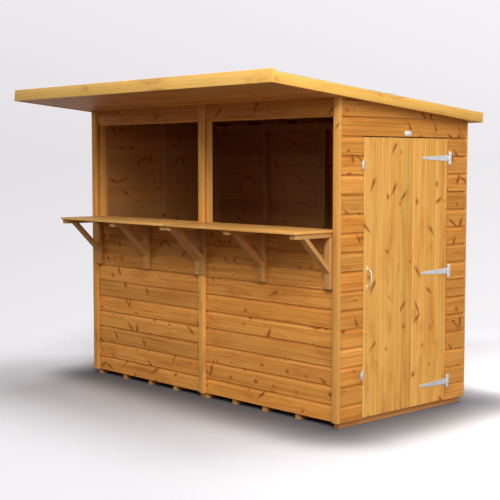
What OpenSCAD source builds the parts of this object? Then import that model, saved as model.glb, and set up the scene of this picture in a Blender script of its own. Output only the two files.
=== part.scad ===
// Bar shed: a two panel wide timber hut with a serving front, a counter
// shelf on brackets, a pent roof with a deep front canopy and a ledged side door.
// Millimetres, +Z up, front faces -Y, the door is in the +X side.

/* [Body] */

// Width over the side walls
wall_width = 2400; // [2000:10:2800]

// Depth over the front trims and the back trims
wall_depth = 1178; // [1000:1:1600]

// Height of the soffit line at the front of the wall
soffit_z = 1880; // [1700:5:2200]

// Fall of the roof towards the back, degrees
pitch = 5.25; // [3:0.25:10]

// Height of the cladding's bottom edge over the ground
cladding_z = 35; // [20:1:60]

// Thickness of the cladding boards
board = 12; // [10:1:20]

// Depth of the wall frame behind the cladding
frame_d = 44; // [38:1:75]

// Thickness of the frame timbers
timber = 28; // [22:1:50]

/* [Trims] */

// Width of the corner trims
trim_w = 48; // [35:1:80]

// Thickness of the front trims
trim_t = 20; // [12:1:28]

/* [Floor] */

// Height of the floor bearers
bearer_h = 44; // [32:1:75]

// Width of the floor bearers
bearer_w = 38; // [28:1:50]

/* [Serving front] */

// Height of the counter's top face
counter_top = 1137; // [950:1:1250]

// Thickness of the counter boards
counter_t = 14; // [12:1:28]

// Reach of the counter in front of the trims
counter_reach = 300; // [200:5:400]

// Height of the head of the serving openings
opening_head = 1777; // [1600:1:1850]

/* [Door] */

// Height of the door over its bottom edge
door_h = 1622; // [1500:1:1800]

// Height of the door's bottom edge over the ground
door_z = 41; // [36:1:60]

// Width of the door
door_w = 764; // [600:1:800]

/* [Roof] */

// Reach of the canopy in front of the wall, along the slope
canopy = 587; // [300:1:800]

// Reach of the roof behind the front wall's face, along the slope
roof_back = 1246.5; // [1100:0.5:1700]

// Reach of the roof beyond each side wall
side_reach = 66.6; // [40:0.1:120]

/* [Hidden] */

edge_x = wall_width / 2;
frame_x = edge_x - board;
inner_x = frame_x - frame_d;
front_y = -331;
back_y = front_y + wall_depth;
front_face = front_y + trim_t;
front_frame = front_face + board;
front_inner = front_frame + frame_d;
back_trim = 12;
back_face = back_y - back_trim;
back_frame = back_face - board;
back_inner = back_frame - frame_d;
floor_z = bearer_h + board;
counter_z = counter_top - counter_t;
sill_z = counter_top;
soffit_w = 4;
rafter_w = 16;
deck_w = 48;
felt_w = 60;
fascia_t = 16;
slack = 0.05;
roof_in = -canopy + fascia_t + slack;
roof_out = roof_back - fascia_t - slack;
side_x = edge_x + side_reach;
hinge_x = edge_x + 6;
hinge_y = back_y - 193;
door_y1 = hinge_y - 8;
door_y0 = door_y1 - door_w;
gap_y0 = door_y0 - 6;
gap_y1 = door_y1 + 5.5;
door_top = door_z + door_h;
head_z = door_top + 6.4;
hinge_heights = [155, 849, 1545];
button_heights = [291, 1504.5];
button_y = door_y0 - 19;
bracket_x = [-1148, -599, -63.5, -14.5, 540, 1094];
bearer_x = [-1161, -870, -580, -310, -25, 17, 285, 560, 845, 1161];
rafter_x = [-1160, -780, -390, -14, 362, 752, 1132];

WOOD = [0.85, 0.62, 0.36];
TRIM = [0.80, 0.64, 0.44];
ZINC = [0.78, 0.79, 0.80];
FELT = [0.35, 0.40, 0.33];

// A point on the roof: u down the slope from the front wall's face, w square to it.
function slope(u, w) = [front_y + u * cos(pitch) + w * sin(pitch),
    soffit_z - u * sin(pitch) + w * cos(pitch)];

// The same roof plane read at an upright line y.
function under(y, w) = [y, soffit_z - tan(pitch) * (y - front_y) + w / cos(pitch)];

// A box between two corners.
module block(low, high) {
    translate(low) cube(high - low);
}

// A prism along X with its outline drawn in Y and Z.
module along_x(x0, x1, outline) {
    translate([x0, 0, 0]) rotate([90, 0, 90])
        linear_extrude(x1 - x0) polygon(outline);
}

// An upright piece whose top follows the roof plane.
module upright(x0, x1, y0, y1, z, w) {
    along_x(x0, x1, [[y0, z], [y1, z], under(y1, w - slack), under(y0, w - slack)]);
}

// A sloping timber of an upright depth, its top on the roof plane.
module sloping_rail(x0, x1, y0, y1, w, depth) {
    along_x(x0, x1, [under(y0, w) - [0, depth], under(y1, w) - [0, depth],
        under(y1, w), under(y0, w)]);
}

// A roof layer with square ends.
module layer(x0, x1, u0, u1, w0, w1) {
    along_x(x0, x1, [slope(u0, w0), slope(u1, w0), slope(u1, w1), slope(u0, w1)]);
}

module floor_bearers() {
    color(WOOD) for (x = bearer_x)
        block([x - bearer_w / 2, front_frame, 0],
            [x + bearer_w / 2, back_frame, bearer_h]);
}

module floor_boards() {
    color(WOOD) {
        block([-frame_x + 6, front_frame, bearer_h], [-1, back_frame, floor_z]);
        block([1, front_frame, bearer_h], [frame_x - 6, back_frame, floor_z]);
    }
}

module front_cladding_left() {
    color(WOOD) block([-frame_x, front_face, cladding_z], [0, front_frame, counter_z]);
}

module front_cladding_right() {
    color(WOOD) block([0, front_face, cladding_z], [frame_x, front_frame, counter_z]);
}

module front_header_left() {
    color(WOOD) upright(-frame_x, 0, front_face, front_frame, opening_head, rafter_w);
}

module front_header_right() {
    color(WOOD) upright(0, frame_x, front_face, front_frame, opening_head, rafter_w);
}

module front_studs() {
    color(WOOD) {
        for (x = [-frame_x, frame_x - 48])
            upright(x, x + 48, front_frame, front_inner, floor_z, rafter_w);
        for (x = [-2 - timber, 2])
            upright(x, x + timber, front_frame, front_inner, floor_z, rafter_w);
        for (x = [-600, 572])
            block([x, front_frame, floor_z + timber],
                [x + timber, front_inner, sill_z - timber]);
    }
}

module front_rails() {
    color(WOOD) for (span = [[-frame_x + 48, -2 - timber], [2 + timber, frame_x - 48]]) {
        block([span[0], front_frame, floor_z], [span[1], front_inner, floor_z + timber]);
        block([span[0], front_frame, sill_z - timber], [span[1], front_inner, sill_z]);
        upright(span[0], span[1], front_frame, front_inner, opening_head, rafter_w);
    }
}

module front_corner_trims() {
    color(TRIM) for (x = [-edge_x, edge_x - trim_w])
        upright(x, x + trim_w, front_y, front_face, cladding_z, soffit_w);
}

module centre_cover_strip() {
    color(TRIM) {
        block([-25, front_y, cladding_z], [25, front_face, 800]);
        upright(-25, 25, front_y, front_face, counter_top, soffit_w);
    }
}

module back_cladding_left() {
    color(WOOD) upright(-frame_x, 0, back_frame, back_face, cladding_z, rafter_w);
}

module back_cladding_right() {
    color(WOOD) upright(0, frame_x, back_frame, back_face, cladding_z, rafter_w);
}

module back_studs() {
    color(WOOD) {
        for (x = [-frame_x, frame_x - 48])
            upright(x, x + 48, back_inner, back_frame, floor_z, rafter_w);
        for (x = [-2 - timber, 2])
            upright(x, x + timber, back_inner, back_frame, floor_z, rafter_w);
        for (x = [-605, 577])
            block([x, back_inner, floor_z + timber],
                [x + timber, back_frame, under(back_frame, rafter_w)[1] - 44]);
    }
}

module back_rails() {
    color(WOOD) for (span = [[-frame_x + 48, -2 - timber], [2 + timber, frame_x - 48]]) {
        block([span[0], back_inner, floor_z], [span[1], back_frame, floor_z + timber]);
        upright(span[0], span[1], back_inner, back_frame,
            under(back_frame, rafter_w)[1] - 44, rafter_w);
    }
}

module back_trims() {
    color(TRIM) for (x = [-edge_x, -trim_w / 2, edge_x - trim_w])
        upright(x, x + trim_w, back_face, back_y, cladding_z, soffit_w);
}

module left_cladding() {
    color(WOOD) upright(-edge_x, -frame_x, front_face, back_face, cladding_z, deck_w);
}

module left_studs() {
    color(WOOD) for (y = [front_inner, 265])
        along_x(-frame_x, -inner_x, [[y, floor_z + timber], [y + timber, floor_z + timber],
            under(y + timber, rafter_w) - [0, timber + slack],
            under(y, rafter_w) - [0, timber + slack]]);
}

module left_rails() {
    color(WOOD) {
        block([-frame_x, front_inner, floor_z], [-inner_x, back_inner, floor_z + timber]);
        sloping_rail(-frame_x, -inner_x, front_inner, back_inner, rafter_w, timber);
    }
}

module right_cladding_front() {
    color(WOOD) upright(frame_x, edge_x, front_face, gap_y0, cladding_z, deck_w);
}

module right_cladding_back() {
    color(WOOD) upright(frame_x, edge_x, gap_y1, back_face, cladding_z, deck_w);
}

module right_cladding_over_door() {
    color(WOOD) upright(frame_x, edge_x, gap_y0, gap_y1, head_z, deck_w);
}

module door_posts() {
    color(WOOD) for (y = [gap_y0 - timber, gap_y1])
        along_x(inner_x, frame_x, [[y, floor_z + timber], [y + timber, floor_z + timber],
            under(y + timber, rafter_w) - [0, timber + slack],
            under(y, rafter_w) - [0, timber + slack]]);
}

module right_rails() {
    color(WOOD) {
        block([inner_x, front_inner, floor_z], [frame_x, gap_y0, floor_z + timber]);
        block([inner_x, gap_y1, floor_z], [frame_x, back_inner, floor_z + timber]);
        block([inner_x, gap_y0, head_z], [frame_x, gap_y1, head_z + timber]);
        sloping_rail(inner_x, frame_x, front_inner, back_inner, rafter_w, timber);
    }
}

module door_boards() {
    color(WOOD) block([frame_x, door_y0, door_z], [edge_x, door_y1, door_top]);
}

module door_ledges() {
    color(WOOD) for (z = hinge_heights)
        block([frame_x - 20, door_y0 + 18, z - 45], [frame_x, door_y1 - 18, z + 45]);
}

// Each brace rises from the hinge side to the free side between two ledges.
module door_braces() {
    color(WOOD) for (i = [0, 1]) {
        low = hinge_heights[i] + 45;
        high = hinge_heights[i + 1] - 45;
        along_x(frame_x - 20, frame_x, [[door_y1 - 20, low], [door_y1 - 20, low + 100],
            [door_y0 + 110, high], [door_y0 + 20, high], [door_y0 + 20, high - 20],
            [door_y1 - 100, low]]);
    }
}

// The strap's tapered blade lies on the door and carries the middle knuckle.
module hinge_strap(z) {
    translate([hinge_x, hinge_y, z]) difference() {
        union() {
            along_x(-6, -3.5, [[0, -15], [-9, -15], [-9, -18.5], [-246, -7],
                [-252, -4.5], [-254, 0], [-252, 4.5], [-246, 7],
                [-9, 18.5], [-9, 15], [0, 15]]);
            translate([0, 0, -15]) cylinder(r = 5.5, h = 30, $fn = 48);
        }
        translate([0, 0, -20]) cylinder(r = 2.6, h = 40, $fn = 48);
    }
}

module hinge_straps() {
    color(ZINC) for (z = hinge_heights) hinge_strap(z);
}

// The wall leaf carries the two outer knuckles and the pin through all three.
module hinge_plate(z) {
    translate([hinge_x, hinge_y, z]) {
        block([-6, 6.5, -40], [-3.5, 29, 40]);
        for (s = [-40, 15.5]) {
            block([-6, 0, s], [-3.5, 6.5, s + 24.5]);
            translate([0, 0, s]) cylinder(r = 5.5, h = 24.5, $fn = 48);
        }
        translate([0, 0, -42]) cylinder(r = 2.5, h = 84, $fn = 48);
    }
}

module hinge_plates() {
    color(ZINC) for (z = hinge_heights) hinge_plate(z);
}

// A bow handle: round bar with two bends, standing on a pad at each end.
module door_handle() {
    reach = 24;
    bend = 17;
    low = 803;
    high = 903;
    color(ZINC) translate([edge_x, door_y0 + 27, 0]) {
        block([0, -9, low - 24], [2.5, 9, low + 12]);
        block([0, -9, high - 12], [2.5, 9, high + 24]);
        for (z = [low, high])
            translate([1, 0, z]) rotate([0, 90, 0]) cylinder(r = 4.5, h = reach - 1, $fn = 48);
        translate([reach, 0, high - bend]) rotate([90, 0, 0])
            rotate_extrude(angle = 90, $fn = 48) translate([bend, 0]) circle(r = 4.5, $fn = 48);
        translate([reach, 0, low + bend]) rotate([90, 0, 0]) rotate([0, 0, -90])
            rotate_extrude(angle = 90, $fn = 48) translate([bend, 0]) circle(r = 4.5, $fn = 48);
        translate([reach + bend, 0, low + bend])
            cylinder(r = 4.5, h = high - low - 2 * bend, $fn = 48);
    }
}

// A turn button: an oval zinc plate with a hole for its screw, upright when open.
module turn_button(z) {
    translate([edge_x + 6, button_y, z]) rotate([0, 90, 0]) difference() {
        union() {
            translate([-19, 0, 0]) cylinder(r = 11, h = 3, $fn = 48);
            translate([19, 0, 0]) cylinder(r = 11, h = 3, $fn = 48);
            translate([-19, -11, 0]) cube([38, 22, 3]);
        }
        translate([0, 0, -1]) cylinder(r = 2.6, h = 5, $fn = 48);
    }
}

module upper_turn_button() {
    color(ZINC) turn_button(button_heights[1]);
}

module lower_turn_button() {
    color(ZINC) turn_button(button_heights[0]);
}

module turn_button_screws() {
    color(ZINC) for (z = button_heights)
        translate([edge_x, button_y, z]) rotate([0, 90, 0]) {
            cylinder(r = 7, h = 5.8, $fn = 48);
            cylinder(r = 2.5, h = 11.5, $fn = 48);
            translate([0, 0, 9.2]) cylinder(r = 5, h = 2.3, $fn = 48);
        }
}

module blank_plate() {
    color([0.95, 0.95, 0.93]) block([edge_x, 232, 1675], [edge_x + 1.5, 298, 1706]);
}

module roof_soffits() {
    span = side_x - fascia_t - slack;
    color(WOOD) {
        along_x(-span, span, [slope(roof_in, soffit_w), under(front_face - slack, soffit_w),
            under(front_face - slack, rafter_w), slope(roof_in, rafter_w)]);
        along_x(-span, span, [under(back_face + slack, soffit_w), slope(roof_out, soffit_w),
            slope(roof_out, rafter_w), under(back_face + slack, rafter_w)]);
        for (x = [-span, edge_x])
            along_x(x, x + span - edge_x, [under(front_face + 1, soffit_w),
                under(back_face - 1, soffit_w), under(back_face - 1, rafter_w),
                under(front_face + 1, rafter_w)]);
    }
}

module roof_rafters() {
    color(WOOD) for (x = rafter_x)
        layer(x, x + timber, roof_in, roof_out, rafter_w + slack, deck_w - slack);
}

module roof_deck() {
    color(WOOD) {
        layer(-side_x + fascia_t + slack, -1, roof_in, roof_out, deck_w, felt_w - slack);
        layer(1, side_x - fascia_t - slack, roof_in, roof_out, deck_w, felt_w - slack);
    }
}

module front_fascia() {
    color(WOOD) layer(-side_x, side_x, -canopy, -canopy + fascia_t, 0, 73);
}

module back_fascia() {
    color(WOOD) layer(-side_x, side_x, roof_back - fascia_t, roof_back, 0, 64);
}

module side_fascias() {
    color(WOOD) for (x = [-side_x, side_x - fascia_t])
        layer(x, x + fascia_t, roof_in, roof_out, 0, felt_w - slack);
}

module roof_felt() {
    color(FELT) layer(-side_x + 6, side_x - 6, roof_in, roof_out, felt_w, felt_w + 3.5);
}

module counter_boards() {
    color(WOOD) for (span = [[-edge_x + 51, -15.5], [-13.5, edge_x - 51]])
        block([span[0], front_y - counter_reach, counter_z],
            [span[1], front_frame, counter_top]);
}

module bracket_posts() {
    color(TRIM) for (x = bracket_x)
        block([x, front_y - 8, 800], [x + 48, front_face, counter_z - timber]);
}

module bracket_arms() {
    color(TRIM) for (x = bracket_x)
        block([x, front_y - counter_reach + 15, counter_z - timber],
            [x + 48, front_face, counter_z]);
}

module bracket_braces() {
    top = counter_z - timber;
    face = front_y - 8;
    color(TRIM) for (x = bracket_x)
        along_x(x, x + 48, [[face, top - 206], [face, top - 172],
            [face - 172, top], [face - 206, top]]);
}

floor_bearers();
floor_boards();
front_cladding_left();
front_cladding_right();
front_header_left();
front_header_right();
front_studs();
front_rails();
front_corner_trims();
centre_cover_strip();
back_cladding_left();
back_cladding_right();
back_studs();
back_rails();
back_trims();
left_cladding();
left_studs();
left_rails();
right_cladding_front();
right_cladding_back();
right_cladding_over_door();
door_posts();
right_rails();
door_boards();
door_ledges();
door_braces();
hinge_straps();
hinge_plates();
door_handle();
upper_turn_button();
lower_turn_button();
turn_button_screws();
blank_plate();
roof_soffits();
roof_rafters();
roof_deck();
front_fascia();
back_fascia();
side_fascias();
roof_felt();
counter_boards();
bracket_posts();
bracket_arms();
bracket_braces();
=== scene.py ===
"""Bar shed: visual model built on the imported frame.

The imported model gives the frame: every piece keeps its place and, but for small
details, its section. This script replaces the plain slabs and boxes with real boards,
dresses each with a procedural finish, and sets up a studio round the shed.
"""
import logging
import math
import random
from dataclasses import dataclass
from enum import Enum
from typing import Iterable, Sequence, Union

import bmesh
import bpy
from mathutils import Matrix, Vector


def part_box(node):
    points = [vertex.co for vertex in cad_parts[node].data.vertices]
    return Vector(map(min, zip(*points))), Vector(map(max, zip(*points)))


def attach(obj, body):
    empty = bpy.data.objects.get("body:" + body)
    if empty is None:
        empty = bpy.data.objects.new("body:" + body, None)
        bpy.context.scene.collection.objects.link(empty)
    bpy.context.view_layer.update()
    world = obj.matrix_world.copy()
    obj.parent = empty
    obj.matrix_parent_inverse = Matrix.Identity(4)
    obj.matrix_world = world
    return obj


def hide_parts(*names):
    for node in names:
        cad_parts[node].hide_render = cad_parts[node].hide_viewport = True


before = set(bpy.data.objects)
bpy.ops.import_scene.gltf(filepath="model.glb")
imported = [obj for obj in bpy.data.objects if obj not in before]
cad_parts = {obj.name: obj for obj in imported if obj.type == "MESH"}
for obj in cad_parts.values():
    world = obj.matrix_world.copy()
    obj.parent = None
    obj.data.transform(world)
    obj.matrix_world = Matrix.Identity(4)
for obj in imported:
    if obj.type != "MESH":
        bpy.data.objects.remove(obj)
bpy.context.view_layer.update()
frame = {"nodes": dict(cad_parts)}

log = logging.getLogger("bar_shed")
Number = Union[int, float]
Colour = tuple[float, float, float, float]


def srgb(red: int, green: int, blue: int) -> Colour:
    """Turn a display colour into a linear one.

    Args:
        red: Red, 0 to 255.
        green: Green, 0 to 255.
        blue: Blue, 0 to 255.

    Returns:
        The linear colour with full alpha.
    """
    def line(value: int) -> float:
        """Undo the display curve for one channel."""
        part = value / 255
        return part / 12.92 if part <= 0.04045 else ((part + 0.055) / 1.055) ** 2.4
    return (line(red), line(green), line(blue), 1.0)


# ---------------------------------------------------------------- shader maths


class Sock:
    """One node output, with the arithmetic that the finishes use."""

    def __init__(self, graph: "Graph", out: bpy.types.NodeSocket) -> None:
        """Keep the graph and the output socket."""
        self.graph = graph
        self.out = out

    def _math(self, operation: str, first: "Term", second: "Term") -> "Sock":
        """Add one Math node."""
        return self.graph.node("ShaderNodeMath", {"operation": operation}, {0: first, 1: second})

    def __add__(self, other: "Term") -> "Sock":
        """Add."""
        return self._math("ADD", self, other)

    def __radd__(self, other: "Term") -> "Sock":
        """Add, reflected."""
        return self._math("ADD", other, self)

    def __sub__(self, other: "Term") -> "Sock":
        """Subtract."""
        return self._math("SUBTRACT", self, other)

    def __rsub__(self, other: "Term") -> "Sock":
        """Subtract, reflected."""
        return self._math("SUBTRACT", other, self)

    def __mul__(self, other: "Term") -> "Sock":
        """Multiply."""
        return self._math("MULTIPLY", self, other)

    def __rmul__(self, other: "Term") -> "Sock":
        """Multiply, reflected."""
        return self._math("MULTIPLY", other, self)

    def __truediv__(self, other: "Term") -> "Sock":
        """Divide."""
        return self._math("DIVIDE", self, other)

    def __pow__(self, other: "Term") -> "Sock":
        """Raise to a power."""
        return self._math("POWER", self, other)

    def over(self, other: "Term") -> "Sock":
        """Give 1 where this is greater than the other value."""
        return self._math("GREATER_THAN", self, other)

    def at_most(self, other: "Term") -> "Sock":
        """Give the smaller of the two."""
        return self._math("MINIMUM", self, other)

    def at_least(self, other: "Term") -> "Sock":
        """Give the larger of the two."""
        return self._math("MAXIMUM", self, other)

    def curve(self, operation: str) -> "Sock":
        """Apply a one-input Math operation such as SINE or SQRT."""
        return self._math(operation, self, 0.0)

    def step(self, low: float, high: float) -> "Sock":
        """Rise smoothly from 0 at low to 1 at high; falls when low is above high."""
        return self.graph.node("ShaderNodeMapRange", {"interpolation_type": "SMOOTHSTEP"},
                               {0: self, 1: low, 2: high, 3: 0.0, 4: 1.0})


Term = Union[Sock, Number]


class Graph:
    """The node tree of one material or world."""

    def __init__(self, tree: bpy.types.NodeTree) -> None:
        """Start from an empty tree."""
        self.tree = tree
        tree.nodes.clear()

    def node(self, kind: str, settings: dict | None = None,
             sockets: dict | None = None, out: int | str = 0) -> Sock:
        """Add any node.

        Args:
            kind: The node's type name.
            settings: Properties of the node, set before its sockets.
            sockets: Input name or index to a value or a Sock.
            out: Name or index of the output to return.

        Returns:
            The chosen output.
        """
        made = self.tree.nodes.new(kind)
        for key, value in (settings or {}).items():
            setattr(made, key, value)
        for key, value in (sockets or {}).items():
            if isinstance(value, Sock):
                self.tree.links.new(value.out, made.inputs[key])
            else:
                made.inputs[key].default_value = value
        return Sock(self, made.outputs[out]) if made.outputs else Sock(self, None)

    def place(self) -> Sock:
        """Give the object's own coordinates."""
        return self.node("ShaderNodeTexCoord", None, None, "Object")

    def other(self, first: Sock, out: int | str) -> Sock:
        """Give another output of the node that an output belongs to."""
        return Sock(self, first.out.node.outputs[out])

    def mix(self, factor: Term, first: object, second: object, blend: str = "MIX") -> Sock:
        """Mix two colours."""
        return self.node("ShaderNodeMix", {"data_type": "RGBA", "blend_type": blend},
                         {0: factor, 6: first, 7: second}, out=2)

    def split(self, vector: Sock) -> tuple[Sock, Sock, Sock]:
        """Split a vector in its three parts."""
        first = self.node("ShaderNodeSeparateXYZ", None, {0: vector})
        return first, self.other(first, 1), self.other(first, 2)

    def join(self, x: Term, y: Term, z: Term = 0.0) -> Sock:
        """Join three numbers in a vector."""
        return self.node("ShaderNodeCombineXYZ", None, {0: x, 1: y, 2: z})

    def noise(self, vector: Sock, scale: float = 1.0, detail: float = 2.0,
              rough: float = 0.5) -> Sock:
        """Add a noise texture and give its value."""
        return self.node("ShaderNodeTexNoise", {"noise_dimensions": "3D"},
                         {"Vector": vector, "Scale": scale, "Detail": detail,
                          "Roughness": rough})

    def bump(self, height: Sock, strength: float, distance: float) -> Sock:
        """Turn a height into a normal."""
        return self.node("ShaderNodeBump", None,
                         {"Height": height, "Strength": strength, "Distance": distance})

    def surface(self, **sockets: object) -> None:
        """Finish with a Principled surface; underscores in names stand for spaces."""
        shader = self.node("ShaderNodeBsdfPrincipled", None,
                           {key.replace("_", " "): value for key, value in sockets.items()})
        self.node("ShaderNodeOutputMaterial", None, {"Surface": shader})


def new_material(name: str) -> tuple[bpy.types.Material, Graph]:
    """Start a material and give it with its empty graph."""
    material = bpy.data.materials.new(name)
    material.use_nodes = True
    return material, Graph(material.node_tree)


# ---------------------------------------------------------------- finishes


@dataclass(frozen=True)
class WoodFinish:
    """Softwood with growth rings, streaks and knots that follow each board.

    The pattern reads the board's own grain coordinates in metres: along the board,
    across it and through it.
    """

    name: str
    light: tuple[int, int, int]
    dark: tuple[int, int, int]
    knot: tuple[int, int, int] = (110, 54, 14)
    halo: tuple[int, int, int] = (178, 98, 36)
    knots: float = 0.55
    knot_size: float = 1.0
    tone: float = 0.2
    rough: float = 0.56
    inner_face_shade: float = 0.0

    def make(self) -> bpy.types.Material:
        """Build the material."""
        material, g = new_material(self.name)
        grain = g.node("ShaderNodeAttribute", {"attribute_name": "grain"}, None, "Vector")
        tone = g.node("ShaderNodeAttribute", {"attribute_name": "tone"}, None, "Vector")
        along, across, through = g.split(grain)
        lot, shade, pith = g.split(tone)

        flow, core, halo = self._knots(g, along, across, lot)
        bent = across + flow
        sway = g.noise(g.join(along * 1.1, bent * 4.0, through * 4.0), 1.0, 2.0) - 0.5
        side = bent + (pith - 0.5) * 0.09
        deep = through + 0.030 + lot * 0.05
        ring_way = (side * side + deep * deep).curve("SQRT") + sway * 0.030
        ring = ((ring_way * (2 * math.pi / 0.0105)).curve("SINE") * 0.5 + 0.5) ** 1.7
        streak = g.noise(g.join(along * 1.2, bent * 44.0, through * 44.0), 1.0, 3.0, 0.55)
        fibre = g.noise(g.join(along * 12.0, bent * 480.0, through * 480.0), 1.0, 2.0, 0.6)
        blotch = g.noise(g.join(along * 2.2, across * 6.0, through * 6.0 + lot), 1.0, 2.0)

        late = ring * 0.36 + (streak - 0.5) * 1.35 + (fibre - 0.5) * 0.30
        body = g.mix((late + 0.10).step(0.0, 1.0), srgb(*self.light), srgb(*self.dark))
        body = g.mix((blotch.step(0.40, 0.78)) * 0.45, body, srgb(*self.dark))
        stain = g.noise(g.join(along * 4.5, across * 16.0, lot * 30.0), 1.0, 3.0, 0.6)
        body = g.mix(stain.step(0.52, 0.74) * 0.42, body, srgb(*self.halo))
        body = g.mix(stain.step(0.46, 0.28) * 0.30, body, srgb(*self.light))
        # painted shade: the inner face of each board, inside the shed, is darkened and greyed
        body = g.mix(through.step(0.0042, 0.0052) * self.inner_face_shade, body, srgb(150, 104, 66))
        lift = 1.0 + (shade - 0.5) * self.tone + (blotch - 0.5) * 0.10
        warm = pith - 0.5
        body = g.mix(1.0, body, g.join(lift, lift * (1.0 - warm * 0.07),
                                       lift * (1.0 - warm * 0.20)), "MULTIPLY")
        body = g.mix(halo, body, srgb(*self.halo))
        body = g.mix(core, body, srgb(*self.knot))

        height = ring * 0.35 + fibre * 0.65 - core * 0.5
        g.surface(Base_Color=body, Roughness=self.rough + (ring - 0.5) * 0.10 - core * 0.08,
                  Normal=g.bump(height, 0.30, 0.0005), Specular_IOR_Level=0.16)
        return material

    def _knots(self, g: Graph, along: Sock, across: Sock,
               lot: Sock) -> tuple[Sock, Sock, Sock]:
        """Scatter spike knots, in pairs that meet at the pith, and small round ones.

        Args:
            g: The material's graph.
            along: Distance along the board.
            across: Distance across the board.
            lot: The board's own random number.

        Returns:
            How far the grain is bent, the dark core and the warm halo.
        """
        spikes = self._scatter(g, along, across, lot, 0.33, 0.150, 0.0, self.knots, True)
        rounds = self._scatter(g, along, across, lot, 0.21, 0.100, 3.7, self.knots * 0.6, False)
        return (spikes[0] + rounds[0], spikes[1].at_least(rounds[1]),
                spikes[2].at_least(rounds[2]))

    def _scatter(self, g: Graph, along: Sock, across: Sock, lot: Sock, pace: float,
                 width: float, shift: float, share: float,
                 spike: bool) -> tuple[Sock, Sock, Sock]:
        """Scatter one kind of knot.

        Args:
            g: The material's graph.
            along: Distance along the board.
            across: Distance across the board.
            lot: The board's own random number.
            pace: How far apart the places for knots lie along the board.
            width: How far apart they lie across it.
            shift: Sets this kind's places apart from the other's.
            share: The share of the places that hold a knot.
            spike: Whether the knots are cut along their length.

        Returns:
            How far the grain is bent, the dark core and the warm halo.
        """
        wide = (across + lot * 9.0 + shift) / width
        long = (along + shift) / pace
        cell = g.node("ShaderNodeTexVoronoi", {"voronoi_dimensions": "2D"},
                      {"Vector": g.join(long, wide), "Scale": 1.0, "Randomness": 0.75}, "Color")
        centre = g.split(g.other(cell, "Position"))
        one, two, three = g.split(cell)
        wobble = g.noise(g.join(along * 45.0, across * 60.0, lot * 9.0), 1.0, 3.0, 0.62) - 0.5
        far = (long - centre[0]) * pace
        beside = (wide - centre[1]) * width
        keep = three.over(1.0 - share)
        size = self.knot_size
        if spike:
            pair = one.over(0.80)
            apart = (far + beside * 0.5).curve("ABSOLUTE") - 0.018 * size
            arm = far * (1.0 - pair) + apart * pair
            turn = (two - 0.5) * 1.7 + (two.over(0.5) - 0.5) * 0.7
            length = (two * 0.016 + one * 0.016 + 0.020) * size
            lean, rise = turn.curve("COSINE"), turn.curve("SINE")
            u = arm * lean + beside * rise
            v = beside * lean - arm * rise
            along_it = (u / length * 0.5 + 0.5).at_least(0.0).at_most(1.0)
            breadth = (along_it * 0.0066 + 0.0030) * size
        else:
            u, v = far, beside
            length = (one * one * 0.007 + 0.0040) * size
            along_it = one
            breadth = length * 0.72
        ratio_u, ratio_v = u / length, v / breadth
        reach = (ratio_u * ratio_u + ratio_v * ratio_v).curve("SQRT") + wobble * 1.05
        depth = (along_it * 0.75 + 0.25 + wobble * 0.8) if spike else (one * 0.5 + 0.35)
        rim = reach.step(0.30, 0.95) * 0.5 + 0.5
        core = reach.step(1.20, 0.85) * rim * keep * depth.at_least(0.0).at_most(1.0)
        halo = reach.step(2.3 if spike else 3.0, 0.8) * keep * (0.66 + wobble)
        bend = 0.0030 if spike else 0.0007
        near = far * far / bend + beside * beside / 0.0006
        flow = beside * (near * -1.0).curve("EXPONENT") * keep * -0.75
        return flow, core, halo


@dataclass(frozen=True)
class ZincFinish:
    """Zinc-plated steel: pale, softly spangled, with a satin gloss."""

    name: str = "zinc_plate"
    base: tuple[int, int, int] = (226, 226, 226)
    dull: tuple[int, int, int] = (176, 177, 178)

    def make(self) -> bpy.types.Material:
        """Build the material."""
        material, g = new_material(self.name)
        place = g.place()
        spangle = g.node("ShaderNodeTexVoronoi", None,
                         {"Vector": place, "Scale": 420.0, "Randomness": 1.0}, "Color")
        grey = g.split(spangle)[0]
        cloud = g.noise(place, 60.0, 3.0, 0.6)
        scuff = g.noise(place, 900.0, 2.0, 0.7)
        body = g.mix(grey * 0.35 + cloud.step(0.35, 0.8) * 0.45, srgb(*self.base), srgb(*self.dull))
        g.surface(Base_Color=body, Metallic=0.55, Roughness=0.36 + cloud * 0.16 + scuff * 0.06,
                  Normal=g.bump(scuff * 0.6 + grey * 0.4, 0.18, 0.0003))
        return material


@dataclass(frozen=True)
class FeltFinish:
    """Green mineral roofing felt: coarse granules with faint weathering."""

    name: str = "mineral_felt"
    base: tuple[int, int, int] = (104, 116, 88)
    dark: tuple[int, int, int] = (62, 72, 54)
    pale: tuple[int, int, int] = (152, 158, 132)

    def make(self) -> bpy.types.Material:
        """Build the material."""
        material, g = new_material(self.name)
        place = g.place()
        granule = g.node("ShaderNodeTexVoronoi", None,
                         {"Vector": place, "Scale": 620.0, "Randomness": 1.0}, "Color")
        one, two, three = g.split(granule)
        patch = g.noise(place, 3.2, 4.0, 0.6)
        body = g.mix(one.step(0.2, 0.9), srgb(*self.dark), srgb(*self.base))
        body = g.mix(two.over(0.86) * 0.8, body, srgb(*self.pale))
        body = g.mix(patch.step(0.35, 0.8) * 0.35, body, srgb(*self.dark))
        g.surface(Base_Color=body, Roughness=0.9 - three * 0.12,
                  Normal=g.bump(one + patch * 0.5, 0.6, 0.0012))
        return material


@dataclass(frozen=True)
class PlateFinish:
    """A plain white enamelled plate, faintly mottled and worn at random spots."""

    name: str = "plain_plate"
    base: tuple[int, int, int] = (238, 238, 234)
    soil: tuple[int, int, int] = (196, 194, 186)

    def make(self) -> bpy.types.Material:
        """Build the material."""
        material, g = new_material(self.name)
        place = g.place()
        cloud = g.noise(place, 55.0, 4.0, 0.6)
        speck = g.noise(place, 700.0, 1.0)
        body = g.mix(cloud.step(0.45, 0.85) * 0.5, srgb(*self.base), srgb(*self.soil))
        g.surface(Base_Color=body, Roughness=0.3 + cloud * 0.2,
                  Normal=g.bump(speck, 0.08, 0.0003))
        return material


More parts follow.
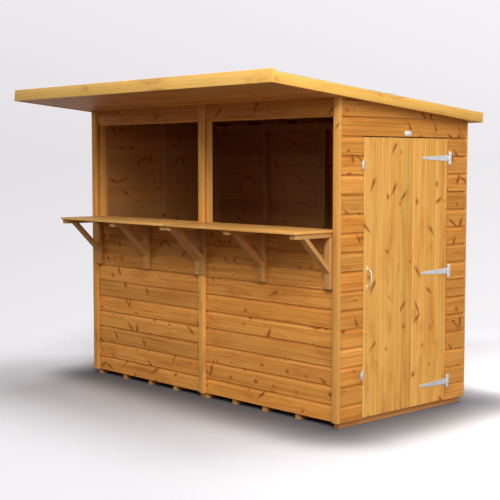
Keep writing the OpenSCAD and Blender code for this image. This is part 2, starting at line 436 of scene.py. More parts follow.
class Finish(Enum):
    """The finishes of the shed, by the pieces that wear them."""

    # the cladding's inner face takes painted shade
    CLADDING = WoodFinish("cladding_wood", (230, 158, 74), (186, 110, 38), knots=0.66,
                          inner_face_shade=0.6)
    TRIM = WoodFinish("trim_wood", (238, 174, 90), (212, 145, 66), knots=0.2,
                      knot_size=0.6, tone=0.14)
    DOOR = WoodFinish("door_wood", (240, 180, 93), (204, 134, 55), knot=(134, 72, 22), knots=0.44,
                      knot_size=0.95, tone=0.22)
    FASCIA = WoodFinish("fascia_wood", (250, 196, 102), (230, 170, 80), knots=0.2,
                        knot_size=0.5, tone=0.1)
    COUNTER = WoodFinish("counter_wood", (240, 182, 102), (212, 150, 74), knots=0.25,
                         knot_size=0.7, tone=0.12)
    BRACKET = WoodFinish("bracket_wood", (214, 158, 92), (188, 130, 68), knots=0.2,
                         knot_size=0.5, tone=0.16)
    FRAMING = WoodFinish("framing_wood", (190, 134, 80), (160, 104, 56), knots=0.4,
                         knot_size=0.7, tone=0.18)
    ROOF_BOARD = WoodFinish("roof_board_wood", (234, 166, 94), (202, 132, 66), knots=0.35,
                            knot_size=0.8, tone=0.16)
    FLOOR = WoodFinish("floor_wood", (206, 146, 84), (172, 112, 58), knots=0.4,
                       knot_size=0.8, tone=0.25, rough=0.7)
    ZINC = ZincFinish()
    HANDLE = ZincFinish("warm_plate", (236, 226, 198), (196, 180, 140))
    NAIL = ZincFinish("stained_nail", (176, 122, 62), (120, 80, 42))
    FELT = FeltFinish()
    PLATE = PlateFinish()

    def material(self) -> bpy.types.Material:
        """Give the finish's material, built on first use."""
        return bpy.data.materials.get(self.value.name) or self.value.make()


# ---------------------------------------------------------------- joinery


class Axis(Enum):
    """The way a board's grain runs."""

    X = Vector((1, 0, 0))
    Y = Vector((0, 1, 0))
    Z = Vector((0, 0, 1))


@dataclass(frozen=True)
class Roof:
    """The roof plane, with the lifts over it of the layers that the walls meet."""

    front_y: float = -0.331
    soffit_z: float = 1.880
    pitch: float = math.radians(5.25)
    soffit_top: float = 0.0159
    rafter_top: float = 0.0479

    def place(self) -> Matrix:
        """Give the matrix from (x, down the slope, square to it) to the frame."""
        return (Matrix.Translation((0, self.front_y, self.soffit_z))
                @ Matrix.Rotation(-self.pitch, 4, "X"))

    def plane(self, lift: float) -> tuple[Vector, Vector]:
        """Give a point and the normal of the plane at a lift over the soffit line."""
        matrix = self.place()
        return matrix @ Vector((0, 0, lift)), (matrix.to_3x3() @ Vector((0, 0, 1))).normalized()

    def height(self, y: float, lift: float) -> float:
        """Give the height of that plane over a line of the plan."""
        return (self.soffit_z - math.tan(self.pitch) * (y - self.front_y)
                + lift / math.cos(self.pitch))


ROOF = Roof()


def edges_of(verts: Iterable[bmesh.types.BMVert]) -> list[bmesh.types.BMEdge]:
    """Give the edges that meet some vertices, once each and in a fixed order."""
    return list(dict.fromkeys(e for v in verts for e in v.link_edges))


def faces_of(verts: Iterable[bmesh.types.BMVert]) -> list[bmesh.types.BMFace]:
    """Give the faces that meet some vertices, once each and in a fixed order."""
    return list(dict.fromkeys(f for v in verts for f in v.link_faces))


class Joinery:
    """Collects boards and fittings in one mesh, each board with its own grain."""

    def __init__(self, name: str, seed: int) -> None:
        """Start an empty piece.

        Args:
            name: The piece's name.
            seed: Sets how the boards differ from each other.
        """
        self.name = name
        self.dice = random.Random(seed)
        self.bm = bmesh.new()
        self.grain = self.bm.verts.layers.float_vector.new("grain")
        self.tone = self.bm.verts.layers.float_vector.new("tone")
        self.done = self.bm.verts.layers.int.new("done")

    def _fresh(self) -> list[bmesh.types.BMVert]:
        """Give the vertices added since the last board was closed."""
        return [v for v in self.bm.verts if v[self.done] == 0]

    def settle(self) -> None:
        """Mark what was added since the last board as finished."""
        for v in self._fresh():
            v[self.done] = 1

    def ease(self, edges: Iterable[bmesh.types.BMEdge], offset: float, steps: int) -> None:
        """Ease edges by an offset, in a number of faces."""
        bmesh.ops.bevel(self.bm, geom=list(edges), offset=offset, segments=steps,
                        profile=0.5, affect="EDGES", material=-1)

    def _close(self, along: Vector, thin: Vector, place: Matrix | None,
               cut: Iterable[tuple[Vector, Vector]] = (),
               tone: float | None = None) -> None:
        """Write the grain of a new board, then put it in place and trim it.

        Args:
            along: The way its grain runs, before it is put in place.
            thin: The way through its thickness.
            place: Where it goes.
            cut: Planes, as a point and a normal, that it is cut back to.
            tone: Its lightness from 0 to 1, or a random one.
        """
        fresh = self._fresh()
        wide = along.cross(thin).normalized()
        centre = sum((v.co for v in fresh), Vector()) / len(fresh)
        start = self.dice.uniform(0, 40)
        mark = Vector((self.dice.random(), self.dice.random(), self.dice.random()))
        if tone is not None:
            mark.y = tone
        for v in fresh:
            away = v.co - centre
            v[self.grain] = (v.co.dot(along) + start, away.dot(wide), away.dot(thin))
            v[self.tone] = mark
        if place is not None:
            bmesh.ops.transform(self.bm, matrix=place, verts=fresh)
        for point, normal in cut:
            self._trim(point, normal)
        self.settle()

    def _trim(self, point: Vector, normal: Vector) -> None:
        """Cut the new board back to a plane and close the cut."""
        fresh = self._fresh()
        made = bmesh.ops.bisect_plane(self.bm, dist=1e-6,
                                      geom=[*fresh, *edges_of(fresh), *faces_of(fresh)],
                                      plane_co=point, plane_no=normal, clear_outer=True)
        rim = [e for e in made["geom_cut"] if isinstance(e, bmesh.types.BMEdge)]
        if rim:
            bmesh.ops.holes_fill(self.bm, edges=rim, sides=0)

    def board(self, low: Sequence[float], high: Sequence[float], along: Axis,
              ease: float = 0.0015, steps: int = 1, place: Matrix | None = None,
              cut: Iterable[tuple[Vector, Vector]] = (), tone: float | None = None) -> None:
        """Add a planed board with eased edges.

        Args:
            low: Its lowest corner.
            high: Its highest corner.
            along: The way its grain runs.
            ease: How far its edges are eased.
            steps: How many faces round each edge.
            place: Where it goes, if it isn't there already.
            cut: Planes that it is cut back to.
            tone: Its lightness from 0 to 1, or a random one.
        """
        low, high = Vector(low), Vector(high)
        size = high - low
        made = bmesh.ops.create_cube(self.bm, size=1.0)["verts"]
        bmesh.ops.scale(self.bm, vec=size, verts=made)
        bmesh.ops.translate(self.bm, vec=(low + high) / 2, verts=made)
        if ease > 0:
            self.ease(edges_of(made), ease, steps)
        spare = [a for a in Axis if a is not along]
        thin = min(spare, key=lambda a: abs(size.dot(a.value)))
        self._close(along.value, thin.value, place, cut, tone)

    def moulding(self, outline: Sequence[Sequence[float]], start: Vector, run: Vector,
                 right: Vector, up: Vector, thin: Vector, ease: float = 0.0,
                 place: Matrix | None = None, cut: Iterable[tuple[Vector, Vector]] = (),
                 grain: Vector | None = None, tone: float | None = None) -> None:
        """Add a board with a section of its own, run along a straight line.

        Args:
            outline: The section as pairs along right and up.
            start: Where the section's zero lies at the board's first end.
            run: From the first end to the other.
            right: The section's first axis.
            up: The section's second axis.
            thin: The way through the board's thickness.
            ease: How far its edges are eased.
            place: Where it goes, if it isn't there already.
            cut: Planes that it is cut back to.
            grain: The way its grain runs, if not along the run.
            tone: Its lightness from 0 to 1, or a random one.
        """
        verts = [self.bm.verts.new(start + right * a + up * b) for a, b in outline]
        face = self.bm.faces.new(verts)
        made = bmesh.ops.extrude_face_region(self.bm, geom=[face])["geom"]
        moved = [v for v in made if isinstance(v, bmesh.types.BMVert)]
        bmesh.ops.translate(self.bm, vec=run, verts=moved)
        fresh = self._fresh()
        bmesh.ops.recalc_face_normals(self.bm, faces=faces_of(fresh))
        if ease > 0:
            self.ease(edges_of(fresh), ease, 1)
        self._close((grain or run).normalized(), thin, place, cut, tone)

    def disc(self, centre: Vector, out: Vector, radius: float, proud: float,
             sides: int = 12, dish: float = 0.0) -> None:
        """Add a screw or nail head.

        Args:
            centre: Where its underside lies.
            out: The way it faces.
            radius: Its radius.
            proud: Its height.
            sides: How many sides it has.
            dish: Depth of its driving recess, or 0 for a nail.
        """
        turn = Vector((0, 0, 1)).rotation_difference(out).to_matrix().to_4x4()
        made = bmesh.ops.create_cone(self.bm, cap_ends=True, segments=sides, radius1=radius,
                                     radius2=radius * 0.82, depth=proud)["verts"]
        bmesh.ops.translate(self.bm, vec=(0, 0, proud / 2), verts=made)
        if dish > 0:
            top = max(faces_of(made), key=lambda f: f.calc_center_median().z)
            bmesh.ops.inset_region(self.bm, faces=[top], thickness=radius * 0.34)
            bmesh.ops.translate(self.bm, vec=(0, 0, -dish), verts=list(top.verts))
        fresh = self._fresh()
        bmesh.ops.transform(self.bm, matrix=Matrix.Translation(centre) @ turn, verts=fresh)
        self.settle()

    def screw(self, centre: Vector, out: Vector, radius: float = 0.0036) -> None:
        """Add a hinge or handle screw's head, with its driving recess."""
        self.disc(centre, out, radius, 0.0009, 14, 0.0007)

    def close(self, finish: Finish, slot: str, body: str, replaces: Sequence[str] = (),
              smooth: float = 0.0) -> bpy.types.Object:
        """Turn the collected mesh into a finished piece.

        Args:
            finish: What it wears.
            slot: The record's material slot; not used.
            body: The body it rides on.
            replaces: The CAD nodes it stands for.
            smooth: Shade smooth below this angle in degrees, or 0 for flat faces.

        Returns:
            The piece.
        """
        self.bm.verts.layers.int.remove(self.done)
        if smooth > 0:
            for face in self.bm.faces:
                face.smooth = True
            for edge in self.bm.edges:
                edge.smooth = edge.calc_face_angle(0.0) < math.radians(smooth)
        mesh = bpy.data.meshes.new(self.name)
        self.bm.to_mesh(mesh)
        self.bm.free()
        piece = bpy.data.objects.new(self.name, mesh)
        bpy.context.scene.collection.objects.link(piece)
        mesh.materials.append(finish.material())
        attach(piece, body)
        if replaces:
            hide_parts(*replaces)
        log.info("%s: %d faces", self.name, len(mesh.polygons))
        return piece


# ---------------------------------------------------------------- the shed


@dataclass
class Floor:
    """Bearers on the ground with boards across them."""

    bearers: tuple[float, ...] = (-1.161, -0.870, -0.580, -0.310, -0.025,
                                  0.017, 0.285, 0.560, 0.845, 1.161)
    width: float = 0.038
    cover: float = 0.1122

    def build(self) -> None:
        """Make the bearers and the boards."""
        low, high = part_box("floor_bearers")
        wood = Joinery("bearers", 11)
        for x in self.bearers:
            wood.board((x - self.width / 2, low.y, low.z),
                       (x + self.width / 2, high.y, high.z), Axis.Y, 0.001)
        wood.close(Finish.FLOOR, "floor_timber", "shell", ["floor_bearers"])
        low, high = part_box("floor_boards")
        wood = Joinery("floor_deck", 12)
        count = round((high.y - low.y) / self.cover)
        pitch = (high.y - low.y) / count
        for left, right in ((low.x, -0.001), (0.001, high.x)):
            for k in range(count):
                y = low.y + k * pitch
                wood.board((left, y + 0.0004, low.z), (right, y + pitch - 0.0004, high.z),
                           Axis.X, 0.0012)
        wood.close(Finish.FLOOR, "floor_timber", "shell", ["floor_boards"])


@dataclass
class Shiplap:
    """One wall's horizontal boards, each with a scalloped top edge.

    A wall that stops under low_top ends in a square-topped board. On a taller one the
    boards from roof_from up are cut back to the roof.
    """

    name: str
    face: float
    inward: Vector
    along: Axis
    spans: tuple[tuple[float, float, float, float], ...]
    nodes: tuple[str, ...]
    seed: int
    lift: float
    studs: tuple[float, ...] = ()
    first: float = 0.035
    second: float = 0.135
    cover: float = 0.10959
    thick: float = 0.012
    scallop: float = 0.024
    depth: float = 0.0078
    low_top: float = 1.5
    roof_from: float = 1.70

    def _section(self, height: float, plain_top: bool) -> list[tuple[float, float]]:
        """Give a board's section, inwards and up.

        Args:
            height: How much of the board shows.
            plain_top: Whether its top is left square.

        Returns:
            The outline.
        """
        tongue = 0.007
        outline = [(0.0014, 0.0), (0.0, 0.0014)]
        if plain_top:
            outline += [(0.0, height), (self.thick, height)]
        else:
            base = height - self.scallop
            steps = 5
            for k in range(steps + 1):
                angle = math.pi / 2 * k / steps
                outline.append((self.depth * math.sin(angle),
                                base + (self.scallop - 0.004) * (1 - math.cos(angle))))
            outline += [(self.depth, height + tongue), (self.thick, height + tongue)]
        outline += [(self.thick, 0.0085), (self.depth - 0.0004, 0.0085),
                    (self.depth - 0.0004, 0.0)]
        return outline

    def build(self) -> None:
        """Make the boards of every span and the nails that hold them."""
        wood = Joinery(self.name, self.seed)
        run = self.along.value
        plane = ROOF.plane(self.lift)
        nails = Joinery(self.name + "_nails", self.seed + 500)
        for start, end, base, top in self.spans:
            level, height = self.first, self.second - self.first
            while level < top - 0.003:
                last = level + height > top - 0.004
                if level >= base - 0.01:
                    square = last and top < self.low_top
                    tall = height
                    if square:
                        tall = top - level
                    elif last:
                        tall = min(height, top - level + 0.05)
                    trim = top > self.low_top and level + height > self.roof_from
                    origin = run * start + self._base() + Vector((0, 0, level))
                    wood.moulding(self._section(tall, square), origin, run * (end - start),
                                  self.inward, Axis.Z.value, self.inward,
                                  cut=[plane] if trim else [])
                    self._nail(nails, start, end, level)
                level += height
                height = self.cover
        wood.close(Finish.CLADDING, "cladding", "shell", self.nodes, smooth=35)
        nails.close(Finish.NAIL, "zinc", "shell")

    def _base(self) -> Vector:
        """Give the wall's outer face as a vector."""
        return self.inward * (self.face if self.inward.x + self.inward.y > 0 else -self.face)

    def _nail(self, nails: Joinery, start: float, end: float, level: float) -> None:
        """Drive one nail into each stud behind a board."""
        for stud in self.studs:
            if start + 0.01 < stud < end - 0.01:
                place = self.along.value * stud + self._base() + Vector((0, 0, level + 0.024))
                if place.z < ROOF.height(place.y, self.lift) - 0.03:
                    nails.disc(place, -self.inward, 0.0022, 0.0003, 8)


@dataclass
class Walls:
    """The four clad walls, their frames and their trims."""

    edge: float = 1.2
    board: float = 0.012
    frame: float = 0.044
    timber: float = 0.028
    corner: float = 0.048
    header_lift: float = 0.011

    def build(self) -> None:
        """Make every wall."""
        self._claddings()
        self._header()
        self._trims()
        self._frames()

    def _claddings(self) -> None:
        """Board the front below the counter, the back and both sides."""
        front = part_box("front_cladding_left")
        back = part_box("back_cladding_left")
        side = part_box("left_cladding")
        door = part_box("right_cladding_over_door")
        inner = self.edge - self.board
        cross = (-1.158, -0.586, -0.028, 0.028, 0.586, 1.158)
        Shiplap("front_shiplap", front[0].y, Vector((0, 1, 0)), Axis.X,
                ((-inner, -0.0004, 0.03, front[1].z), (0.0004, inner, 0.03, front[1].z)),
                ("front_cladding_left", "front_cladding_right"), 21, ROOF.soffit_top, cross).build()
        Shiplap("back_shiplap", back[1].y, Vector((0, -1, 0)), Axis.X,
                ((-inner, -0.0004, 0.03, 1.80), (0.0004, inner, 0.03, 1.80)),
                ("back_cladding_left", "back_cladding_right"), 22, ROOF.soffit_top, cross).build()
        Shiplap("left_shiplap", side[0].x, Vector((1, 0, 0)), Axis.Y,
                ((side[0].y, side[1].y, 0.03, 1.94),),
                ("left_cladding",), 23, ROOF.rafter_top, (-0.275, -0.012, 0.279, 0.80)).build()
        Shiplap("right_shiplap", self.edge, Vector((-1, 0, 0)), Axis.Y,
                ((side[0].y, door[0].y, 0.03, 1.665), (door[1].y, side[1].y, 0.03, 1.665),
                 (side[0].y, side[1].y, 1.665, 1.94)),
                ("right_cladding_front", "right_cladding_back", "right_cladding_over_door"),
                24, ROOF.rafter_top, (-0.288, -0.140, 0.665, 0.80)).build()

    def _header(self) -> None:
        """Board the head over the serving openings."""
        low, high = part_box("front_header_left")
        wood = Joinery("header_boards", 31)
        plane = ROOF.plane(ROOF.soffit_top)
        for left, right in ((low.x, -0.0004), (0.0004, self.edge - self.board)):
            wood.board((left, low.y, low.z + self.header_lift), (right, high.y, high.z),
                       Axis.X, 0.0012, cut=[plane])
        wood.close(Finish.CLADDING, "cladding", "shell",
                   ["front_header_left", "front_header_right"])

    def _trims(self) -> None:
        """Stand the corner trims, the back trims and the centre strip."""
        plane = ROOF.plane(0.0039)
        low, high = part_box("front_corner_trims")
        wood = Joinery("corner_trims", 32)
        for x, tone in ((low.x, 0.3), (high.x - self.corner, 0.62)):
            wood.board((x, low.y, low.z), (x + self.corner, high.y, high.z + 0.02), Axis.Z,
                       0.0015, 2, cut=[plane], tone=tone)
        wood.close(Finish.TRIM, "trim", "shell", ["front_corner_trims"], smooth=50)
        low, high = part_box("centre_cover_strip")
        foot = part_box("bracket_posts")[0].z
        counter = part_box("counter_boards")[1].z
        wood = Joinery("cover_strip", 33)
        wood.board(low, (high.x, high.y, foot), Axis.Z, 0.0015, 2, tone=0.5)
        wood.board((low.x, low.y, counter), (high.x, high.y, high.z + 0.02), Axis.Z,
                   0.0015, 2, cut=[plane], tone=0.5)
        wood.close(Finish.TRIM, "trim", "shell", ["centre_cover_strip"], smooth=50)
        low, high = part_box("back_trims")
        wood = Joinery("rear_trims", 34)
        for x in (low.x, -self.corner / 2, high.x - self.corner):
            wood.board((x, low.y, low.z), (x + self.corner, high.y, high.z + 0.02), Axis.Z,
                       0.0015, 2, cut=[plane])
        wood.close(Finish.TRIM, "trim", "shell", ["back_trims"], smooth=50)

    def _upright(self, wood: Joinery, x0: float, x1: float, y0: float, y1: float,
                 z0: float, z1: float) -> None:
        """Add one stud, cut under the rafters' line."""
        wood.board((x0, y0, z0), (x1, y1, z1), Axis.Z, 0.0018,
                   cut=[ROOF.plane(ROOF.soffit_top)] if z1 > 1.75 else [])

    def _frames(self) -> None:
        """Frame the walls with studs and rails."""
        t = self.timber
        inner = self.edge - self.board
        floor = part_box("floor_boards")[1].z
        for wall, seed, mids in (("front", 41, (-0.6, 0.572)), ("back", 42, (-0.605, 0.577))):
            low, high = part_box(wall + "_studs")
            top = ROOF.height(high.y, ROOF.soffit_top)
            sill = 1.137 if wall == "front" else top - 0.044 + t
            wood = Joinery(wall + "_stud_timbers", seed)
            for x in (-inner, inner - 0.048):
                self._upright(wood, x, x + 0.048, low.y, high.y, floor, 2.0)
            for x in (-0.002 - t, 0.002):
                self._upright(wood, x, x + t, low.y, high.y, floor, 2.0)
            for x in mids:
                self._upright(wood, x, x + t, low.y, high.y, floor + t, min(sill - t, top - 0.044))
            # painted light: the front frame, lit in the openings, wears the paler trim finish while
            # the rest of the frame, the same timber, wears the darker framing finish
            finish = Finish.TRIM if wall == "front" else Finish.FRAMING
            wood.close(finish, "framing", "shell", [wall + "_studs"])
            wood = Joinery(wall + "_rail_timbers", seed + 10)
            for left, right in ((-inner + 0.048, -0.002 - t), (0.002 + t, inner - 0.048)):
                wood.board((left, low.y, floor), (right, high.y, floor + t), Axis.X, 0.0018)
                if wall == "front":
                    wood.board((left, low.y, sill - t), (right, high.y, sill), Axis.X, 0.0018)
                    # painted light: the front head rail is given a lighter tone
                    wood.board((left, low.y, 1.777), (right, high.y, 2.0), Axis.X, 0.0018,
                               cut=[ROOF.plane(ROOF.soffit_top)], tone=0.8)
                else:
                    wood.board((left, low.y, top - 0.044), (right, high.y, 2.0), Axis.X,
                               0.0018, cut=[ROOF.plane(ROOF.soffit_top)])
            wood.close(finish, "framing", "shell", [wall + "_rails"])
        self._side_frames(floor)

    def _side_frames(self, floor: float) -> None:
        """Frame the two side walls and the doorway."""
        t = self.timber
        inner = self.edge - self.board
        under = ROOF.plane(ROOF.soffit_top - t * math.cos(ROOF.pitch) - 0.0001)
        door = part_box("right_cladding_over_door")
        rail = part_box("left_rails")
        for side, studs, flat in (
                ("left", (rail[0].y, 0.265), ((rail[0].y, rail[1].y, floor),)),
                ("door", (door[0].y - t, door[1].y),
                 ((rail[0].y, door[0].y, floor), (door[1].y, rail[1].y, floor),
                  (door[0].y, door[1].y, door[0].z)))):
            x0 = -inner if side == "left" else inner - self.frame
            wood = Joinery(side + "_side_studs", 61 if side == "left" else 62)
            for y in studs:
                wood.board((x0, y, floor + t), (x0 + self.frame, y + t, 2.0), Axis.Z, 0.0018,
                           cut=[under])
            wood.close(Finish.FRAMING, "framing", "shell",
                       ["left_studs" if side == "left" else "door_posts"])
            wood = Joinery(side + "_side_rails", 63 if side == "left" else 64)
            for y0, y1, z in flat:
                wood.board((x0, y0, z), (x0 + self.frame, y1, z + t), Axis.Y, 0.0018)
            run = rail[1].y - rail[0].y
            top = ROOF.height(rail[0].y, 0.016)
            fall = math.tan(ROOF.pitch) * run
            wood.moulding([(0, -t), (run, -fall - t), (run, -fall), (0, 0)],
                          Vector((x0, rail[0].y, top - 0.0001)), Vector((self.frame, 0, 0)),
                          Vector((0, 1, 0)), Vector((0, 0, 1)), Vector((0, 0, 1)),
                          grain=Vector((0, 1, 0)))
            wood.close(Finish.FRAMING, "framing", "shell",
                       ["left_rails" if side == "left" else "right_rails"])


@dataclass
class RoofWork:
    """Soffits, rafters, deck, felt and fascias."""

    reach: float = 0.0666
    thick: float = 0.016
    edge: float = 1.2
    rafters: tuple[float, ...] = (-1.160, -0.780, -0.390, -0.014, 0.362, 0.752, 1.132)
    front: float = -0.587
    back: float = 1.2465
    cover: float = 0.110
    chamfer: float = 0.0028

    def _vee(self, width: float, thick: float) -> list[tuple[float, float]]:
        """Give the section of a board with small chamfers on its lower face."""
        c = self.chamfer
        return [(0.0, c), (c, 0.0), (width - c, 0.0), (width, c), (width, thick), (0.0, thick)]

    def _boards(self, wood: Joinery, x0: float, x1: float, u0: float, u1: float, w: float,
                thick: float, first: float | None = None) -> None:
        """Lay boards across the slope, seen from below."""
        u = u0
        width = first or self.cover
        while u < u1 - 0.004:
            width = min(width, u1 - u)
            wood.moulding(self._vee(width - 0.0005, thick), Vector((x0, u, w)),
                          Vector((x1 - x0, 0, 0)), Vector((0, 1, 0)), Vector((0, 0, 1)),
                          Vector((0, 0, 1)), place=ROOF.place())
            u += width
            width = self.cover

    def build(self) -> None:
        """Make the roof from the soffits up."""
        outer = self.edge + self.reach
        inside = outer - self.thick - 0.0001
        u0, u1 = self.front + self.thick + 0.0001, self.back - self.thick - 0.0001
        level = math.cos(ROOF.pitch)
        wall_u = 0.020 / level - 0.0016
        back_u = 1.166 / level + 0.0002
        wood = Joinery("soffit_boards", 71)
        self._boards(wood, -inside, inside, u0, wall_u, 0.004, 0.0119, 0.088)
        self._boards(wood, -inside, inside, back_u, u1, 0.004, 0.0119)
        for x in (-inside, self.edge + 0.0002):
            wood.board((x, wall_u + 0.0005, 0.004),
                       (x + inside - self.edge - 0.0002, back_u, ROOF.soffit_top),
                       Axis.Y, 0.0008, place=ROOF.place())
        wood.close(Finish.ROOF_BOARD, "roof_boards", "shell", ["roof_soffits"])
        wood = Joinery("rafter_timbers", 72)
        for x in self.rafters:
            wood.board((x, u0, 0.0161), (x + 0.028, u1, ROOF.rafter_top), Axis.Y,
                       0.0015, place=ROOF.place())
        wood.close(Finish.FRAMING, "framing", "shell", ["roof_rafters"])
        wood = Joinery("deck_boards", 73)
        for x0, x1 in ((-inside, -0.001), (0.001, inside)):
            self._boards(wood, x0, x1, u0, u1, 0.0481, 0.0118, 0.09)
        wood.close(Finish.ROOF_BOARD, "roof_boards", "shell", ["roof_deck"])
        self._fascias(outer, u0, u1)
        self._felt(outer, u0, u1)

    def _fascias(self, outer: float, u0: float, u1: float) -> None:
        """Nail the four fascias round the roof."""
        place = ROOF.place()
        wood = Joinery("fascia_front", 74)
        wood.board((-outer, self.front, 0.0), (outer, self.front + self.thick, 0.073), Axis.X,
                   0.0015, 2, place=place, tone=0.55)
        wood.close(Finish.FASCIA, "fascia", "shell", ["front_fascia"], smooth=50)
        wood = Joinery("fascia_back", 75)
        wood.board((-outer, self.back - self.thick, 0.0), (outer, self.back, 0.064), Axis.X,
                   0.0015, 2, place=place)
        wood.close(Finish.FASCIA, "fascia", "shell", ["back_fascia"], smooth=50)
        wood = Joinery("fascia_sides", 76)
        for x, tone in ((-outer, 0.4), (outer - self.thick, 0.6)):
            wood.board((x, u0, 0.0), (x + self.thick, u1, 0.0598), Axis.Y, 0.0015, 2,
                       place=place, tone=tone)
        wood.close(Finish.FASCIA, "fascia", "shell", ["side_fascias"], smooth=50)

    def _felt(self, outer: float, u0: float, u1: float) -> None:
        """Lay two runs of felt with a raised band at the lap, and clout nails at the sides."""
        place = ROOF.place()
        felt = Joinery("felt_runs", 77)
        lap = (u0 + u1) / 2
        edge = outer - 0.0062
        for start, end, base, top in ((u0 + 0.0002, lap + 0.05, 0.0600, 0.0625),
                                      (lap - 0.03, lap + 0.06, 0.0620, 0.0634),
                                      (lap + 0.0505, u1 - 0.0002, 0.0600, 0.0625)):
            felt.board((-edge, start, base), (edge, end, top), Axis.X, 0.0006, place=place)
        felt.close(Finish.FELT, "felt", "shell", ["roof_felt"])
        clouts = Joinery("felt_clouts", 78)
        up = place.to_3x3() @ Vector((0, 0, 1))
        for side in (-1, 1):
            for k in range(13):
                u = u0 + 0.04 + k * (u1 - u0 - 0.08) / 12
                lift = 0.0628 if lap - 0.03 < u < lap + 0.06 else 0.0625
                clouts.disc(place @ Vector((side * (edge - 0.012), u, lift)), up,
                            0.0045, 0.0006, 10)
        clouts.close(Finish.ZINC, "zinc", "shell")


@dataclass
class Counter:
    """The serving counter on its six timber brackets."""

    brackets: tuple[float, ...] = (-1.148, -0.599, -0.0635, -0.0145, 0.540, 1.094)
    width: float = 0.048

    def build(self) -> None:
        """Make the boards, posts, arms and braces."""
        low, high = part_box("counter_boards")
        wood = Joinery("counter_deck", 81)
        for left, right, tone in ((low.x, -0.0148, 0.5), (-0.0142, high.x, 0.6)):
            wood.board((left, low.y, low.z), (right, high.y, high.z), Axis.X, 0.002, 2, tone=tone)
        wood.close(Finish.COUNTER, "counter", "shell", ["counter_boards"], smooth=50)
        post_low, post_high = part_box("bracket_posts")
        arm_low, arm_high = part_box("bracket_arms")
        posts = Joinery("counter_posts", 82)
        arms = Joinery("counter_arms", 83)
        braces = Joinery("counter_braces", 84)
        screws = Joinery("bracket_screws", 85)
        top, face = post_high.z, post_low.y
        for x in self.brackets:
            right = x + self.width - 0.0006
            posts.board((x, post_low.y, post_low.z), (right, post_high.y, post_high.z), Axis.Z,
                        0.002, 2)
            arms.board((x, arm_low.y, arm_low.z), (right, arm_high.y, arm_high.z), Axis.Y,
                       0.002, 2)
            braces.moulding([(0, -0.206), (0, -0.172), (-0.172, 0), (-0.206, 0)],
                            Vector((x + 0.001, face, top)), Vector((self.width - 0.0026, 0, 0)),
                            Vector((0, 1, 0)), Vector((0, 0, 1)),
                            Vector((0, 0.7071, 0.7071)), grain=Vector((0, -0.7071, 0.7071)))
            middle = x + self.width / 2
            for z in (post_low.z + 0.03, post_low.z + 0.062):
                screws.disc(Vector((middle, face, z)), Vector((0, -1, 0)), 0.0036, 0.0006,
                            12, 0.0004)
        posts.close(Finish.BRACKET, "bracket", "shell", ["bracket_posts"], smooth=50)
        arms.close(Finish.BRACKET, "bracket", "shell", ["bracket_arms"], smooth=50)
        braces.close(Finish.BRACKET, "bracket", "shell", ["bracket_braces"])
        screws.close(Finish.NAIL, "zinc", "shell")


